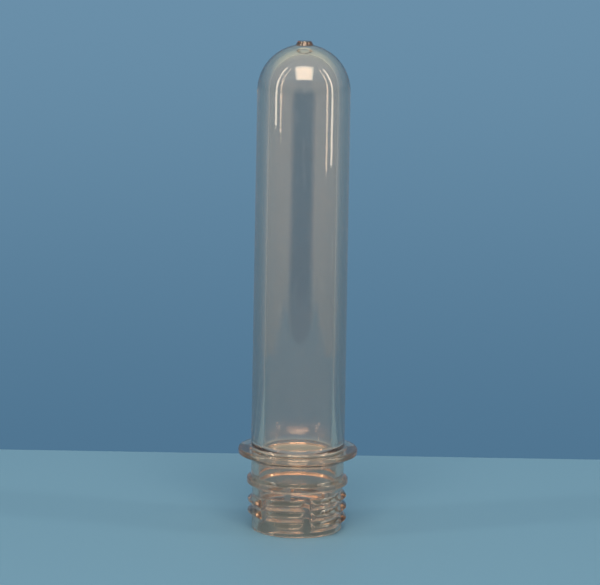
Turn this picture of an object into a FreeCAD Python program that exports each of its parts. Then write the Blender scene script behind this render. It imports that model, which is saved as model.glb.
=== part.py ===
"""PET bottle preform: one injection-moulded solid, standing mouth down on its sealing surface.

+Z runs along the axis, from the sealing surface at z = 0 to the gate nub on the domed end.
Azimuth is counted from the front (-Y), positive towards +X. Millimetres and degrees.
"""
import math
import os

import FreeCAD
import Part

# Mouth and neck finish
BORE_RADIUS = 10.87
THREAD_ROOT_RADIUS = 12.47
LIP_INNER_CHAMFER = 0.18
LIP_OUTER_CHAMFER = 0.28

# Tamper-evidence bead between the thread and the support ring
BEAD_RADIUS = 14.0
BEAD_HEIGHT = 13.83
BEAD_CREST_WIDTH = 1.5
BEAD_LOWER_FLANK = 0.75
BEAD_UPPER_FLANK = 0.7
BEAD_CREST_CHAMFER = 0.25

# Plain neck and support ring: flat towards the body, conical towards the mouth
NECK_RADIUS = 12.85
RING_CONE_HEIGHT = 19.65
RING_RADIUS = 16.5
RING_FACE_HEIGHT = 23.0
RING_EDGE_THICKNESS = 1.55
RING_FACE_CHAMFER = 0.3
RING_CONE_CHAMFER = 0.25
RING_BODY_ROUNDING = 0.8

# Body: slight draft up to the domed end
BODY_RADIUS = 12.95
DOME_RADIUS = 12.7
DOME_CENTRE_HEIGHT = 122.0
BODY_WALL = 3.45
DOME_WALL = 2.9
CORE_TIP_RADIUS = 9.3
TAPER_START_HEIGHT = 22.6
TAPER_LENGTH = 1.2
TAPER_ROUNDING = 1.6

# Gate nub left by the hot runner
NUB_TOP_RADIUS = 1.8
NUB_BASE_RADIUS = 2.4
NUB_PROTRUSION = 0.9
NUB_CHAMFER = 0.1

# Right-handed single-start thread
THREAD_DEPTH = 1.245
THREAD_PITCH = 3.18
THREAD_FRONT_HEIGHT = 2.65
THREAD_ROOT_WIDTH = 2.7
THREAD_CREST_WIDTH = 0.7
THREAD_EMBEDMENT = 0.2
THREAD_START_AZIMUTH = -47.0
THREAD_END_AZIMUTH = 829.3
RUN_OUT_FLAT_DEPTH = 0.07

# Vent slots: V-shaped gaps through the thread, down to the neck wall
SLOT_COUNT = 6
SLOT_AZIMUTH = 13.3
SLOT_ROOT_WIDTH = 1.75
SLOT_CREST_WIDTH = 4.4
SLOT_OVERRUN = 0.4

FULL_TURN = 360.0
AXIS = FreeCAD.Vector(0, 0, 1)
ORIGIN = FreeCAD.Vector(0, 0, 0)
GREATEST_DRAFT = 0.02
ROUND = "round"
CHAMFER = "chamfer"
SHARP = "sharp"


def point(radius, height):
    return FreeCAD.Vector(radius, 0, height)


def straight(start, end):
    """A straight edge; a slightly drafted wall is a one-span spline, which revolves most simply."""
    if 0 < abs(end.x - start.x) < GREATEST_DRAFT * abs(end.z - start.z):
        spline = Part.BezierCurve()
        spline.setPoles([start, end])
        return spline.toShape()
    return Part.makeLine(start, end)


def eased_path(corners):
    """Edges of an open path in the XZ plane, its inner corners round, chamfered or sharp.

    A corner is (radius, height, easing, size); the two ends are (radius, height).
    """
    edges = []
    start = point(*corners[0])
    for before, corner, after in zip(corners, corners[1:], corners[2:]):
        radius, height, easing, size = corner
        tip = point(radius, height)
        back = (point(*before[:2]) - tip).normalize()
        ahead = (point(*after[:2]) - tip).normalize()
        half_angle = back.getAngle(ahead) / 2
        reach = size / math.tan(half_angle) if easing == ROUND else size
        eased_start = tip + back * reach
        eased_end = tip + ahead * reach
        edges.append(straight(start, eased_start))
        if easing == ROUND:
            inward = (back + ahead).normalize()
            middle = tip + inward * (size / math.sin(half_angle) - size)
            edges.append(Part.Arc(eased_start, middle, eased_end).toShape())
        if easing == CHAMFER:
            edges.append(Part.makeLine(eased_start, eased_end))
        start = eased_end
    edges.append(straight(start, point(*corners[-1])))
    return edges


def tangent_angle(radius, height, dome_radius, centre_height):
    """Angle above the dome's equator at which a line from (radius, height) touches the dome."""
    below = centre_height - height
    distance = math.hypot(radius, below)
    return math.acos(dome_radius / distance) - math.atan2(below, radius)


def dome_point(dome_radius, centre_height, angle):
    return dome_radius * math.cos(angle), centre_height + dome_radius * math.sin(angle)


def dome_arc(dome_radius, centre_height, start_angle, end_angle):
    angles = (start_angle, (start_angle + end_angle) / 2, end_angle)
    stops = [point(*dome_point(dome_radius, centre_height, angle)) for angle in angles]
    return Part.Arc(*stops).toShape()


def turn_to(shape, azimuth):
    """Turn a shape made on +X to an azimuth counted from the front."""
    shape.rotate(ORIGIN, AXIS, azimuth - FULL_TURN / 4)
    return shape


def preform_blank():
    """The whole preform without its thread, as one revolved solid."""
    core_centre_height = DOME_CENTRE_HEIGHT + DOME_RADIUS - DOME_WALL - CORE_TIP_RADIUS
    body_bore_radius = BODY_RADIUS - BODY_WALL
    outer_touch = tangent_angle(BODY_RADIUS, RING_FACE_HEIGHT, DOME_RADIUS, DOME_CENTRE_HEIGHT)
    taper_end_height = TAPER_START_HEIGHT + TAPER_LENGTH
    core_touch = tangent_angle(body_bore_radius, taper_end_height, CORE_TIP_RADIUS, core_centre_height)
    bead_low = BEAD_HEIGHT - BEAD_CREST_WIDTH / 2
    bead_high = BEAD_HEIGHT + BEAD_CREST_WIDTH / 2
    walls = eased_path([
        dome_point(DOME_RADIUS, DOME_CENTRE_HEIGHT, outer_touch),
        (BODY_RADIUS, RING_FACE_HEIGHT, ROUND, RING_BODY_ROUNDING),
        (RING_RADIUS, RING_FACE_HEIGHT, CHAMFER, RING_FACE_CHAMFER),
        (RING_RADIUS, RING_FACE_HEIGHT - RING_EDGE_THICKNESS, CHAMFER, RING_CONE_CHAMFER),
        (NECK_RADIUS, RING_CONE_HEIGHT, SHARP, 0),
        (NECK_RADIUS, bead_high + BEAD_UPPER_FLANK, SHARP, 0),
        (BEAD_RADIUS, bead_high, CHAMFER, BEAD_CREST_CHAMFER),
        (BEAD_RADIUS, bead_low, CHAMFER, BEAD_CREST_CHAMFER),
        (THREAD_ROOT_RADIUS, bead_low - BEAD_LOWER_FLANK, SHARP, 0),
        (THREAD_ROOT_RADIUS, 0, CHAMFER, LIP_OUTER_CHAMFER),
        (BORE_RADIUS, 0, CHAMFER, LIP_INNER_CHAMFER),
        (BORE_RADIUS, TAPER_START_HEIGHT, ROUND, TAPER_ROUNDING),
        (body_bore_radius, taper_end_height, ROUND, TAPER_ROUNDING),
        dome_point(CORE_TIP_RADIUS, core_centre_height, core_touch),
    ])
    core_tip = dome_arc(CORE_TIP_RADIUS, core_centre_height, core_touch, math.pi / 2)
    nub_base_angle = math.acos(NUB_BASE_RADIUS / DOME_RADIUS)
    nub_top_height = DOME_CENTRE_HEIGHT + DOME_RADIUS + NUB_PROTRUSION
    nub = eased_path([
        (0, nub_top_height),
        (NUB_TOP_RADIUS, nub_top_height, CHAMFER, NUB_CHAMFER),
        dome_point(DOME_RADIUS, DOME_CENTRE_HEIGHT, nub_base_angle),
    ])
    dome = dome_arc(DOME_RADIUS, DOME_CENTRE_HEIGHT, nub_base_angle, outer_touch)
    core_apex_height = core_centre_height + CORE_TIP_RADIUS
    middle = Part.makeLine(point(0, core_apex_height), point(0, nub_top_height))
    outline = Part.Wire(Part.sortEdges(walls + [core_tip, middle] + nub + [dome])[0])
    return Part.Face(outline).revolve(ORIGIN, AXIS, FULL_TURN)


def thread_ridge():
    """Helical ridge, its inner side sunk into the neck wall."""
    flank = (THREAD_ROOT_WIDTH - THREAD_CREST_WIDTH) / 2
    crest_radius = THREAD_ROOT_RADIUS + THREAD_DEPTH
    inner_radius = THREAD_ROOT_RADIUS - THREAD_EMBEDMENT
    inner_half_width = THREAD_ROOT_WIDTH / 2 + THREAD_EMBEDMENT * flank / THREAD_DEPTH
    crest_half_width = THREAD_CREST_WIDTH / 2
    section = Part.makePolygon([
        point(inner_radius, -inner_half_width),
        point(crest_radius, -crest_half_width),
        point(crest_radius, crest_half_width),
        point(inner_radius, inner_half_width),
        point(inner_radius, -inner_half_width),
    ])
    turns = (THREAD_END_AZIMUTH - THREAD_START_AZIMUTH) / FULL_TURN
    path = Part.makeHelix(THREAD_PITCH, THREAD_PITCH * turns, THREAD_ROOT_RADIUS)
    sweep = Part.BRepOffsetAPI.MakePipeShell(Part.Wire(path))
    sweep.setFrenetMode(True)
    sweep.add(section)
    sweep.build()
    sweep.makeSolid()
    ridge = sweep.shape()
    start_height = THREAD_FRONT_HEIGHT + THREAD_PITCH * THREAD_START_AZIMUTH / FULL_TURN
    ridge.translate(FreeCAD.Vector(0, 0, start_height))
    return turn_to(ridge, THREAD_START_AZIMUTH)


def vent_slot(azimuth):
    """V-shaped cutter, wider at the crest than at the root, as high as the thread."""
    flare = (SLOT_CREST_WIDTH - SLOT_ROOT_WIDTH) / 2 / THREAD_DEPTH
    near = THREAD_ROOT_RADIUS - SLOT_OVERRUN
    far = THREAD_ROOT_RADIUS + THREAD_DEPTH + SLOT_OVERRUN
    near_half = SLOT_ROOT_WIDTH / 2 - SLOT_OVERRUN * flare
    far_half = SLOT_CREST_WIDTH / 2 + SLOT_OVERRUN * flare
    outline = Part.makePolygon([
        FreeCAD.Vector(near, -near_half, 0),
        FreeCAD.Vector(far, -far_half, 0),
        FreeCAD.Vector(far, far_half, 0),
        FreeCAD.Vector(near, near_half, 0),
        FreeCAD.Vector(near, -near_half, 0),
    ])
    cutter = Part.Face(outline).extrude(AXIS * BEAD_HEIGHT)
    return turn_to(cutter, azimuth)


def run_out_flat(azimuth, side):
    """Flat just under the neck wall's surface, on one side (+1 or -1) of an azimuth."""
    near = THREAD_ROOT_RADIUS - RUN_OUT_FLAT_DEPTH
    span = THREAD_ROOT_RADIUS + THREAD_DEPTH
    low_side = min(0, side * span)
    block = Part.makeBox(span, span, BEAD_HEIGHT, FreeCAD.Vector(near, low_side, 0))
    return turn_to(block, azimuth)


def thread_segments():
    """The ridge cut by the vent slots, its first and last segment faded out by flats."""
    slots = [vent_slot(SLOT_AZIMUTH + FULL_TURN * index / SLOT_COUNT) for index in range(SLOT_COUNT)]
    segments = sorted(thread_ridge().cut(slots).Solids, key=lambda solid: solid.CenterOfMass.z)
    segments[0] = segments[0].cut(run_out_flat(THREAD_START_AZIMUTH, 1))
    segments[-1] = segments[-1].cut(run_out_flat(THREAD_END_AZIMUTH, -1))
    return segments


preform = preform_blank().multiFuse(thread_segments())
preform = preform.removeSplitter().Solids[0]

os.makedirs("parts", exist_ok=True)
preform.exportStep("parts/preform.step")
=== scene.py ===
import math

import bpy
from mathutils import Euler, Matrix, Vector


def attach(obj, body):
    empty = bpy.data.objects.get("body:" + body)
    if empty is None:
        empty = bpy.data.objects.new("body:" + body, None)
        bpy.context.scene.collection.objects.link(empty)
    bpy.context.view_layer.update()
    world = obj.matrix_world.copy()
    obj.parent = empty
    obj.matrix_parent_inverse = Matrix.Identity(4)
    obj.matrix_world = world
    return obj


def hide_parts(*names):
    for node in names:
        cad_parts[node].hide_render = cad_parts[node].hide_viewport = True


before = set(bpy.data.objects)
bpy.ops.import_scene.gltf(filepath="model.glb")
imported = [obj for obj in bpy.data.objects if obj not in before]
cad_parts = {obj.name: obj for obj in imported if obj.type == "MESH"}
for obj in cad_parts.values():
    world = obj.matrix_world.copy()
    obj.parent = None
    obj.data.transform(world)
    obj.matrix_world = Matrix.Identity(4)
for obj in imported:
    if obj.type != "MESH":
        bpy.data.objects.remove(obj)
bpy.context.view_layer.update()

MM = 0.001


# ---------------------------------------------------------------- preform
# One injection-moulded piece of clear PET, formed in a cavity round a polished core pin.
# It is revolved from one outline; the split neck ring adds the thread and its vent slots,
# and the hot runner leaves the gate nub on the dome. Nothing is joined to it.

BORE_RADIUS = 10.87 * MM
THREAD_ROOT_RADIUS = 12.47 * MM
BEAD_RADIUS = 14.0 * MM
BEAD_HEIGHT = 13.83 * MM
BEAD_CREST_WIDTH = 1.5 * MM
BEAD_LOWER_FLANK = 0.75 * MM
BEAD_UPPER_FLANK = 0.7 * MM
NECK_RADIUS = 12.85 * MM
RING_CONE_HEIGHT = 19.65 * MM
RING_RADIUS = 16.5 * MM
RING_FACE_HEIGHT = 23.0 * MM
RING_EDGE_THICKNESS = 1.55 * MM
BODY_RADIUS = 12.95 * MM
BODY_WALL = 3.45 * MM
DOME_RADIUS = 12.7 * MM
DOME_CENTRE_HEIGHT = 122.0 * MM
DOME_WALL = 2.9 * MM
CORE_TIP_RADIUS = 9.3 * MM
CORE_TIP_CENTRE = DOME_CENTRE_HEIGHT + DOME_RADIUS - DOME_WALL - CORE_TIP_RADIUS
TAPER_START_HEIGHT = 22.6 * MM
TAPER_LENGTH = 1.2 * MM
NUB_TOP_RADIUS = 1.8 * MM
NUB_BASE_RADIUS = 2.4 * MM
NUB_PROTRUSION = 0.9 * MM
NUB_TOP_HEIGHT = DOME_CENTRE_HEIGHT + DOME_RADIUS + NUB_PROTRUSION

THREAD_CREST_RADIUS = 13.715 * MM
THREAD_PITCH = 3.18 * MM
THREAD_FRONT_HEIGHT = 2.65 * MM
THREAD_ROOT_WIDTH = 2.7 * MM
THREAD_CREST_WIDTH = 0.7 * MM
THREAD_START_AZIMUTH = -47.0
THREAD_END_AZIMUTH = 829.3
THREAD_ZONE_FOOT = 0.7 * MM
THREAD_ZONE_LOW = 0.71 * MM
THREAD_ZONE_MARGIN = 0.4 * MM
RUN_OUT_FLAT_DEPTH = 0.07 * MM
SLOT_COUNT = 6
SLOT_AZIMUTH = 13.3
SLOT_ROOT_WIDTH = 1.75 * MM
SLOT_CREST_WIDTH = 4.4 * MM

# Roundings that the polished mould leaves on the edges
NUB_TOP_ROUNDING = 0.15 * MM
NUB_BASE_ROUNDING = 0.2 * MM
RING_BODY_ROUNDING = 0.8 * MM
RING_FACE_ROUNDING = 0.45 * MM
RING_CONE_ROUNDING = 0.4 * MM
BEAD_CREST_ROUNDING = 0.45 * MM
BEAD_FOOT_ROUNDING = 0.25 * MM
LIP_OUTER_ROUNDING = 0.4 * MM
LIP_INNER_ROUNDING = 0.25 * MM
TAPER_ROUNDING = 1.6 * MM
THREAD_CREST_SMOOTHING = 0.45 * MM
THREAD_ROOT_SMOOTHING = 0.3 * MM
SLOT_SMOOTHING = 0.3 * MM
RUN_OUT_SMOOTHING = 0.1 * MM

MOULD_COLUMNS = 320
THREAD_ROW_STEP = 0.11 * MM
DOME_START_SWING = 0.06
SUPPORT_GAP = 0.12 * MM


def spread(start, end, steps):
    """Points from start to end, the start left out."""
    return [start.lerp(end, step / steps) for step in range(1, steps + 1)]


def rounded_outline(corners):
    """An outline of (radius, height, rounding, steps) corners, each rounding swept as an arc."""
    outline = [Vector(corners[0][:2])]
    for before, corner, after in zip(corners, corners[1:], corners[2:]):
        tip = Vector(corner[:2])
        back = (Vector(before[:2]) - tip).normalized()
        ahead = (Vector(after[:2]) - tip).normalized()
        half_angle = back.angle(ahead) / 2
        rounding, steps = corner[2:]
        reach = rounding / math.tan(half_angle)
        centre = tip + (back + ahead).normalized() * rounding / math.sin(half_angle)
        first = tip + back * reach - centre
        last = tip + ahead * reach - centre
        outline.append(centre + first + back * SUPPORT_GAP)
        for step in range(steps + 1):
            share = step / steps
            outline.append(centre + first.slerp(last, share) * rounding)
        outline.append(centre + last + ahead * SUPPORT_GAP)
    outline.append(Vector(corners[-1][:2]))
    return outline


def dome_outline(radius, centre_height, start_angle, end_angle, steps):
    """Points on a hemispherical end, between two angles above its equator."""
    points = []
    for step in range(steps + 1):
        angle = start_angle + (end_angle - start_angle) * step / steps
        points.append(Vector((radius * math.cos(angle), centre_height + radius * math.sin(angle))))
    return points


nub_foot_angle = math.acos(NUB_BASE_RADIUS / DOME_RADIUS)
nub_foot_height = DOME_CENTRE_HEIGHT + DOME_RADIUS * math.sin(nub_foot_angle)
bead_low = BEAD_HEIGHT - BEAD_CREST_WIDTH / 2
bead_high = BEAD_HEIGHT + BEAD_CREST_WIDTH / 2
thread_zone_top = bead_low - BEAD_LOWER_FLANK
dome_start_angle = nub_foot_angle - DOME_START_SWING
dome_start_radius = DOME_RADIUS * math.cos(dome_start_angle)
dome_start_height = DOME_CENTRE_HEIGHT + DOME_RADIUS * math.sin(dome_start_angle)

nub_outline = rounded_outline([
    (0, NUB_TOP_HEIGHT),
    (NUB_TOP_RADIUS, NUB_TOP_HEIGHT, NUB_TOP_ROUNDING, 5),
    (NUB_BASE_RADIUS, nub_foot_height, NUB_BASE_ROUNDING, 4),
    (dome_start_radius, dome_start_height),
])[:-1]
outer_dome = dome_outline(DOME_RADIUS, DOME_CENTRE_HEIGHT, dome_start_angle, 0, 30)
core_tip = dome_outline(CORE_TIP_RADIUS, CORE_TIP_CENTRE, 0, math.pi / 2, 30)
neck_outline = rounded_outline([
    outer_dome[-1],
    (BODY_RADIUS, RING_FACE_HEIGHT, RING_BODY_ROUNDING, 8),
    (RING_RADIUS, RING_FACE_HEIGHT, RING_FACE_ROUNDING, 8),
    (RING_RADIUS, RING_FACE_HEIGHT - RING_EDGE_THICKNESS, RING_CONE_ROUNDING, 6),
    (NECK_RADIUS, RING_CONE_HEIGHT, RING_CONE_ROUNDING, 5),
    (NECK_RADIUS, bead_high + BEAD_UPPER_FLANK, BEAD_FOOT_ROUNDING, 4),
    (BEAD_RADIUS, bead_high, BEAD_CREST_ROUNDING, 6),
    (BEAD_RADIUS, bead_low, BEAD_CREST_ROUNDING, 6),
    (THREAD_ROOT_RADIUS, thread_zone_top, BEAD_FOOT_ROUNDING, 4),
    (THREAD_ROOT_RADIUS, thread_zone_top - THREAD_ZONE_MARGIN),
])[1:]
thread_rows = round((neck_outline[-1].y - THREAD_ZONE_FOOT) / THREAD_ROW_STEP)
thread_zone = spread(neck_outline[-1], Vector((THREAD_ROOT_RADIUS, THREAD_ZONE_FOOT)), thread_rows)
mouth_outline = rounded_outline([
    thread_zone[-1],
    (THREAD_ROOT_RADIUS, 0, LIP_OUTER_ROUNDING, 7),
    (BORE_RADIUS, 0, LIP_INNER_ROUNDING, 5),
    (BORE_RADIUS, TAPER_START_HEIGHT, TAPER_ROUNDING, 7),
    (BODY_RADIUS - BODY_WALL, TAPER_START_HEIGHT + TAPER_LENGTH, TAPER_ROUNDING, 7),
    core_tip[0],
])[1:-1]
outline = nub_outline + outer_dome + neck_outline + thread_zone + mouth_outline + core_tip

outline_mesh = bpy.data.meshes.new("preform_outline")
outline_edges = [(i, i + 1) for i in range(len(outline) - 1)]
outline_mesh.from_pydata([(p.x, 0, p.y) for p in outline], outline_edges, [])
preform = bpy.data.objects.new("preform_body", outline_mesh)
bpy.context.scene.collection.objects.link(preform)


class Tree:
    """Adds nodes to a node tree and joins them up."""

    def __init__(self, tree):
        self.tree = tree

    def node(self, kind, **settings):
        made = self.tree.nodes.new(kind)
        for name, value in settings.items():
            setattr(made, name, value)
        return made

    def join(self, value, socket):
        if isinstance(value, bpy.types.NodeSocket):
            self.tree.links.new(value, socket)
        else:
            socket.default_value = value

    def math(self, operation, *values):
        made = self.node("ShaderNodeMath", operation=operation)
        for value, socket in zip(values, made.inputs):
            self.join(value, socket)
        return made.outputs[0]

    def eased(self, value, start, end, low=0.0, high=1.0):
        """A smooth step from low to high as the value goes from start to end."""
        made = self.node("ShaderNodeMapRange", interpolation_type="SMOOTHSTEP")
        for given, socket in zip((value, start, end, low, high), made.inputs):
            self.join(given, socket)
        return made.outputs[0]

    def mixed(self, factor, first, second):
        """A colour between two others."""
        made = self.node("ShaderNodeMix", data_type="RGBA")
        self.join(factor, made.inputs[0])
        self.join(first, made.inputs[6])
        self.join(second, made.inputs[7])
        return made.outputs[2]


def moulding_tree():
    """Wraps the outline into a closed shell and raises the thread where its rule says so."""
    tree = bpy.data.node_groups.new("preform_moulding", "GeometryNodeTree")
    tree.is_modifier = True
    sizes = {}
    face = tree.interface
    face.new_socket("Outline", in_out="INPUT", socket_type="NodeSocketGeometry")
    for name, kind in (
        ("Columns", "Int"), ("Root Radius", "Float"), ("Crest Radius", "Float"), ("Pitch", "Float"),
        ("Front Height", "Float"), ("Root Width", "Float"), ("Crest Width", "Float"),
        ("Start Azimuth", "Float"), ("End Azimuth", "Float"), ("Slot Count", "Int"),
        ("Slot Azimuth", "Float"), ("Slot Root Width", "Float"), ("Slot Crest Width", "Float"),
        ("Zone Low", "Float"), ("Zone High", "Float"), ("Material", "Material"),
    ):
        sizes[name] = face.new_socket(name, in_out="INPUT", socket_type="NodeSocket" + kind).identifier
    face.new_socket("Preform", in_out="OUTPUT", socket_type="NodeSocketGeometry")
    t = Tree(tree)
    given = t.node("NodeGroupInput").outputs
    m = t.math

    # The outline's points become the rows of a sheet, which is wrapped once round the axis.
    rows = t.node("GeometryNodeAttributeDomainSize")
    t.join(given["Outline"], rows.inputs[0])
    row_count = rows.outputs["Point Count"]
    sheet = t.node("GeometryNodeMeshGrid")
    t.join(1.0, sheet.inputs["Size X"])
    t.join(1.0, sheet.inputs["Size Y"])
    t.join(m("ADD", given["Columns"], 1), sheet.inputs["Vertices X"])
    t.join(row_count, sheet.inputs["Vertices Y"])
    place = t.node("ShaderNodeSeparateXYZ")
    t.join(t.node("GeometryNodeInputPosition").outputs[0], place.inputs[0])
    turn = m("ADD", place.outputs["X"], 0.5)
    row = m("ROUND", m("MULTIPLY", m("ADD", place.outputs["Y"], 0.5), m("SUBTRACT", row_count, 1)))
    taken = t.node("GeometryNodeSampleIndex", data_type="FLOAT_VECTOR", domain="POINT")
    t.join(given["Outline"], taken.inputs["Geometry"])
    t.join(t.node("GeometryNodeInputPosition").outputs[0], taken.inputs["Value"])
    t.join(row, taken.inputs["Index"])
    outline_point = t.node("ShaderNodeSeparateXYZ")
    t.join(taken.outputs[0], outline_point.inputs[0])
    wall_radius = outline_point.outputs["X"]
    height = outline_point.outputs["Z"]

    # Thread: the nearest strand's own azimuth, counted on from the start of the thread.
    azimuth = m("MULTIPLY", turn, 360.0)
    above_front = m("SUBTRACT", height, given["Front Height"])
    strands_up = m("SUBTRACT", m("DIVIDE", above_front, given["Pitch"]), turn)
    strand = m("ROUND", strands_up)
    off_strand = m("MULTIPLY", m("ABSOLUTE", m("SUBTRACT", strands_up, strand)), given["Pitch"])
    strand_azimuth = m("ADD", azimuth, m("MULTIPLY", strand, 360.0))
    depth = m("SUBTRACT", given["Crest Radius"], given["Root Radius"])
    flank = m("MULTIPLY", m("SUBTRACT", given["Root Width"], given["Crest Width"]), 0.5)
    up_flank = m("SUBTRACT", m("MULTIPLY", given["Root Width"], 0.5), off_strand)
    flank_rise = m("MULTIPLY", m("DIVIDE", up_flank, flank), depth)
    ridge = m("SMOOTH_MIN", flank_rise, depth, THREAD_CREST_SMOOTHING)

    # Vent slots: V-shaped gaps evenly spaced round the neck.
    past_first_slot = m("SUBTRACT", azimuth, given["Slot Azimuth"])
    slots_along = m("MULTIPLY", m("DIVIDE", past_first_slot, 360.0), given["Slot Count"])
    from_nearest = m("ABSOLUTE", m("SUBTRACT", slots_along, m("ROUND", slots_along)))
    off_slot = m("DIVIDE", from_nearest, given["Slot Count"])
    mean_radius = m("MULTIPLY", m("ADD", given["Crest Radius"], given["Root Radius"]), 0.5)
    along_wall = m("MULTIPLY", m("MULTIPLY", off_slot, math.tau), mean_radius)
    slot_flank = m("MULTIPLY", m("SUBTRACT", given["Slot Crest Width"], given["Slot Root Width"]), 0.5)
    up_slot_flank = m("SUBTRACT", along_wall, m("MULTIPLY", given["Slot Root Width"], 0.5))
    slot_rise = m("MULTIPLY", m("DIVIDE", up_slot_flank, slot_flank), depth)
    ridge = m("SMOOTH_MIN", ridge, slot_rise, SLOT_SMOOTHING)

    # Run-outs: a flat at each end of the thread, tangent to the wall.
    for end, way in (("Start Azimuth", 1), ("End Azimuth", -1)):
        past = m("MULTIPLY", m("SUBTRACT", strand_azimuth, given[end]), way)
        swing = m("RADIANS", m("MINIMUM", m("MAXIMUM", past, 0.0), 60.0))
        flat_middle = m("SUBTRACT", given["Root Radius"], RUN_OUT_FLAT_DEPTH)
        flat_radius = m("DIVIDE", flat_middle, m("COSINE", swing))
        flat_rise = m("SUBTRACT", flat_radius, given["Root Radius"])
        ridge = m("SMOOTH_MIN", ridge, flat_rise, RUN_OUT_SMOOTHING)

    # The ridge is raised on the outer wall of the thread zone only, so the bore stays plain.
    ridge = m("SMOOTH_MAX", ridge, 0.0, THREAD_ROOT_SMOOTHING)
    above_low = m("GREATER_THAN", height, given["Zone Low"])
    in_zone = m("MULTIPLY", above_low, m("LESS_THAN", height, given["Zone High"]))
    outer_wall = m("GREATER_THAN", wall_radius, m("SUBTRACT", given["Root Radius"], 0.01 * MM))
    in_zone = m("MULTIPLY", in_zone, outer_wall)
    radius = m("ADD", wall_radius, m("MULTIPLY", ridge, in_zone))

    swing = m("MULTIPLY", m("SUBTRACT", turn, 0.25), math.tau)
    wrapped = t.node("ShaderNodeCombineXYZ")
    t.join(m("MULTIPLY", radius, m("COSINE", swing)), wrapped.inputs["X"])
    t.join(m("MULTIPLY", radius, m("SINE", swing)), wrapped.inputs["Y"])
    t.join(height, wrapped.inputs["Z"])
    wrap = t.node("GeometryNodeSetPosition")
    t.join(sheet.outputs["Mesh"], wrap.inputs["Geometry"])
    t.join(wrapped.outputs[0], wrap.inputs["Position"])
    weld = t.node("GeometryNodeMergeByDistance")
    t.join(wrap.outputs[0], weld.inputs["Geometry"])
    t.join(0.002 * MM, weld.inputs["Distance"])
    outward = t.node("GeometryNodeFlipFaces")
    t.join(weld.outputs[0], outward.inputs[0])
    polish = t.node("GeometryNodeSetShadeSmooth")
    t.join(outward.outputs[0], polish.inputs["Geometry"])
    real = t.node("GeometryNodeRealizeInstances")
    t.join(polish.outputs[0], real.inputs[0])
    finish = t.node("GeometryNodeSetMaterial")
    t.join(real.outputs[0], finish.inputs["Geometry"])
    t.join(given["Material"], finish.inputs["Material"])
    t.join(finish.outputs[0], t.node("NodeGroupOutput").inputs[0])
    return tree, sizes


def clear_pet():
    """Clear PET: polished, faintly warm where it is thick, with a painted warm glow on the neck, fine
    scuffs and a few specks.
    """
    material = bpy.data.materials.new("preform_pet")
    material.use_nodes = True
    t = Tree(material.node_tree)
    shader = material.node_tree.nodes["Principled BSDF"]
    output = material.node_tree.nodes["Material Output"]
    shader.inputs["IOR"].default_value = 1.575
    shader.inputs["Transmission Weight"].default_value = 0.975
    place = t.node("ShaderNodeTexCoord").outputs["Object"]

    def noise(scale, detail, coordinates=place):
        made = t.node("ShaderNodeTexNoise")
        t.join(coordinates, made.inputs["Vector"])
        t.join(scale, made.inputs["Scale"])
        t.join(detail, made.inputs["Detail"])
        return made.outputs[0]

    # Tint: a painted warm glow on the neck, so the base colour is a shade warmer there than on the
    # body, in soft uneven clouds.
    height = t.node("ShaderNodeSeparateXYZ")
    t.join(place, height.inputs[0])
    toward_body = t.eased(height.outputs["Z"], 20 * MM, 28 * MM, 0.0, 1.0)
    clouds = t.math("MULTIPLY", t.math("SUBTRACT", noise(70.0, 3.0), 0.5), 0.5)
    # The first colour is the neck's painted warm glow; the second is the body's own faint tint.
    tint_and_painted_glow = t.mixed(t.math("ADD", toward_body, clouds), (0.87, 0.75, 0.67, 1), (0.91, 0.88, 0.865, 1))

    # Specks: small dark grains caught near the surface, a fifth of a millimetre in radius.
    grains = t.node("ShaderNodeTexVoronoi")
    t.join(place, grains.inputs["Vector"])
    t.join(110.0, grains.inputs["Scale"])
    speck = t.math("LESS_THAN", grains.outputs["Distance"], 0.022)
    t.join(t.mixed(speck, tint_and_painted_glow, (0.12, 0.1, 0.09, 1)), shader.inputs["Base Color"])

    # Scuffs: short dull rubs along the body, from preforms lying against each other.
    along = t.node("ShaderNodeMapping")
    t.join(place, along.inputs["Vector"])
    t.join((1.0, 1.0, 0.12), along.inputs["Scale"])
    rubs = t.eased(noise(900.0, 2.0, along.outputs[0]), 0.6, 0.74, 0.02, 0.14)
    t.join(rubs, shader.inputs["Roughness"])
    ripple = t.node("ShaderNodeBump")
    t.join(0.25, ripple.inputs["Strength"])
    t.join(0.01 * MM, ripple.inputs["Distance"])
    t.join(noise(500.0, 2.0), ripple.inputs["Height"])
    t.join(ripple.outputs[0], shader.inputs["Normal"])

    absorbing = t.node("ShaderNodeVolumeAbsorption")
    absorbing.inputs["Color"].default_value = (0.88, 0.74, 0.59, 1)
    absorbing.inputs["Density"].default_value = 100.0
    t.join(absorbing.outputs[0], output.inputs["Volume"])
    return material


pet = clear_pet()
tree, sizes = moulding_tree()
moulding = preform.modifiers.new("moulding", "NODES")
moulding.node_group = tree
for name, value in {
    "Columns": MOULD_COLUMNS, "Root Radius": THREAD_ROOT_RADIUS, "Crest Radius": THREAD_CREST_RADIUS,
    "Pitch": THREAD_PITCH, "Front Height": THREAD_FRONT_HEIGHT, "Root Width": THREAD_ROOT_WIDTH,
    "Crest Width": THREAD_CREST_WIDTH, "Start Azimuth": THREAD_START_AZIMUTH,
    "End Azimuth": THREAD_END_AZIMUTH, "Slot Count": SLOT_COUNT, "Slot Azimuth": SLOT_AZIMUTH,
    "Slot Root Width": SLOT_ROOT_WIDTH, "Slot Crest Width": SLOT_CREST_WIDTH,
    "Zone Low": THREAD_ZONE_LOW, "Zone High": thread_zone_top, "Material": pet,
}.items():
    moulding[sizes[name]] = value
bpy.context.view_layer.update()
shell = bpy.data.meshes.new_from_object(preform.evaluated_get(bpy.context.evaluated_depsgraph_get()))
preform.modifiers.clear()
preform.data = shell
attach(preform, "root")
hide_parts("preform")


# ---------------------------------------------------------------- table
# A plain matt table top of one pale blue sheet. The preform stands on it mouth down, a hand's
# width from its back edge.

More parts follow.
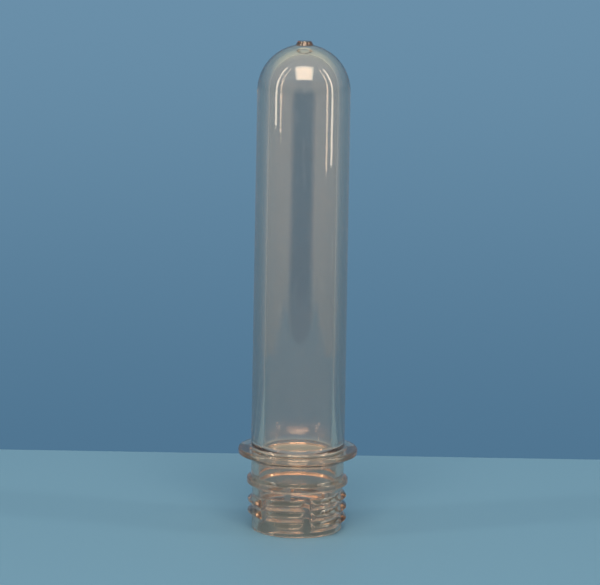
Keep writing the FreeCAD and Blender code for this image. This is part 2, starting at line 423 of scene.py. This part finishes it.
def matt(name, colour):
    material = bpy.data.materials.new(name)
    material.use_nodes = True
    shader = material.node_tree.nodes["Principled BSDF"]
    shader.inputs["Base Color"].default_value = (*colour, 1)
    shader.inputs["Roughness"].default_value = 0.6
    return material


TABLE_FRONT = 0.31
TABLE_BACK = 0.09
TABLE_HALF_WIDTH = 0.27
table_mesh = bpy.data.meshes.new("table_top")
table_mesh.from_pydata(
    [(-TABLE_HALF_WIDTH, -TABLE_FRONT, 0), (TABLE_HALF_WIDTH, -TABLE_FRONT, 0),
     (TABLE_HALF_WIDTH, TABLE_BACK, 0), (-TABLE_HALF_WIDTH, TABLE_BACK, 0)], [], [(0, 1, 2, 3)])
table = bpy.data.objects.new("table_top", table_mesh)
bpy.context.scene.collection.objects.link(table)
table_mesh.materials.append(matt("table_matt", (0.125, 0.27, 0.40)))


# ---------------------------------------------------------------- light
# A warm ceiling panel in front, a tall strip on each side, and a plain surround.

def soft_lamp(name, place, aim, width, length, radiance, colour):
    """A rectangular lamp of a given brightness, which the camera doesn't see."""
    lamp = bpy.data.lights.new(name, "AREA")
    lamp.shape = "RECTANGLE"
    lamp.size, lamp.size_y = width, length
    lamp.energy = radiance * math.pi * width * length
    lamp.color = colour
    holder = bpy.data.objects.new(name, lamp)
    holder.location = place
    holder.rotation_euler = (Vector(aim) - Vector(place)).to_track_quat("-Z", "Y").to_euler()
    holder.visible_camera = False
    bpy.context.scene.collection.objects.link(holder)


BODY_CENTRE = (0, 0, 0.08)


def around(azimuth, distance, height):
    """A place round the preform, counted from the front toward the right."""
    turned = math.radians(azimuth)
    return (distance * math.sin(turned), -distance * math.cos(turned), height)


soft_lamp("ceiling_panel", (0, -1.1, 1.5), BODY_CENTRE, 1.3, 1.2, 7.5, (1.0, 0.78, 0.56))
soft_lamp("strip_left", around(-71, 1.0, 0.735), (0, 0, 0.735), 0.1, 1.45, 9.0, (1.0, 0.85, 0.66))
soft_lamp("strip_right", around(74.5, 1.0, 0.65), (0, 0, 0.65), 0.1, 1.33, 9.0, (1.0, 0.85, 0.66))

world = bpy.data.worlds.new("surround")
bpy.context.scene.world = world
world.use_nodes = True
w = Tree(world.node_tree)
background = world.node_tree.nodes["Background"]
way = w.node("ShaderNodeSeparateXYZ")
w.join(w.node("ShaderNodeTexCoord").outputs["Generated"], way.inputs[0])


def ramp(value, stops):
    """A colour picked by a value between the stops' places, which run from -1 to 1."""
    made = w.node("ShaderNodeValToRGB")
    w.join(w.math("MULTIPLY_ADD", value, 0.5, 0.5), made.inputs[0])
    for place, colour in stops:
        stop = made.color_ramp.elements.new((place + 1) / 2)
        stop.color = (*colour, 1)
    made.color_ramp.elements.remove(made.color_ramp.elements[0])
    made.color_ramp.elements.remove(made.color_ramp.elements[-1])
    return made.outputs[0]


toward_top = w.eased(way.outputs["Z"], -0.25, -0.06)
backdrop = w.mixed(toward_top, (0.076, 0.174, 0.279, 1), (0.147, 0.279, 0.402, 1))
upper_back = w.mixed(w.eased(way.outputs["Z"], 0.1, 0.7), backdrop, (0.43, 0.54, 0.52, 1))
room = ramp(way.outputs["Z"], [
    (-0.6, (0.10, 0.14, 0.18)), (-0.28, (0.12, 0.15, 0.17)), (-0.19, (0.28, 0.28, 0.24)),
    (-0.12, (0.48, 0.44, 0.37)), (0.0, (0.42, 0.4, 0.34)), (0.17, (0.55, 0.49, 0.41)),
    (0.42, (0.66, 0.58, 0.48)), (0.97, (0.85, 0.74, 0.6)),
])
bright_room = w.node("ShaderNodeVectorMath", operation="SCALE")
w.join(room, bright_room.inputs[0])
w.join(1.9, bright_room.inputs["Scale"])
in_front = w.eased(way.outputs["Y"], -0.84, -0.88)
low_front = w.math("MULTIPLY", in_front, w.eased(way.outputs["Z"], 0.06, -0.05))
fronts = w.mixed(low_front, bright_room.outputs[0], (0.07, 0.11, 0.17, 1))
studio = w.mixed(w.eased(way.outputs["Y"], -0.15, 0.7), fronts, upper_back)
rays = w.node("ShaderNodeLightPath")
through = w.math("MAXIMUM", rays.outputs["Is Glossy Ray"], rays.outputs["Is Transmission Ray"])
w.join(w.mixed(through, backdrop, studio), background.inputs["Color"])


# ---------------------------------------------------------------- camera
# A long lens at the viewing angle, a little above the dome and rolled by about a degree.

VIEW_DOWN = 10.042
VIEW_ROLL = 0.98
FOCAL_WIDTHS = 3143.0 / 600
camera = bpy.data.cameras.new("camera")
camera.sensor_width = 36.0
camera.lens = FOCAL_WIDTHS * camera.sensor_width
camera.clip_end = 50
view = bpy.data.objects.new("camera", camera)
view.location = (-0.00012, -0.850, 0.2169)
tilt = Euler((math.radians(90 - VIEW_DOWN), 0, 0)).to_matrix()
roll = Euler((0, 0, math.radians(VIEW_ROLL))).to_matrix()
view.rotation_euler = (tilt @ roll).to_euler()
bpy.context.scene.collection.objects.link(view)
bpy.context.scene.camera = view
bpy.context.scene.view_settings.view_transform = "Standard"

# The thread's facets pass light on many times before it leaves the wall.
bpy.context.scene.cycles.max_bounces = 40
bpy.context.scene.cycles.transmission_bounces = 40
bpy.context.scene.cycles.glossy_bounces = 16
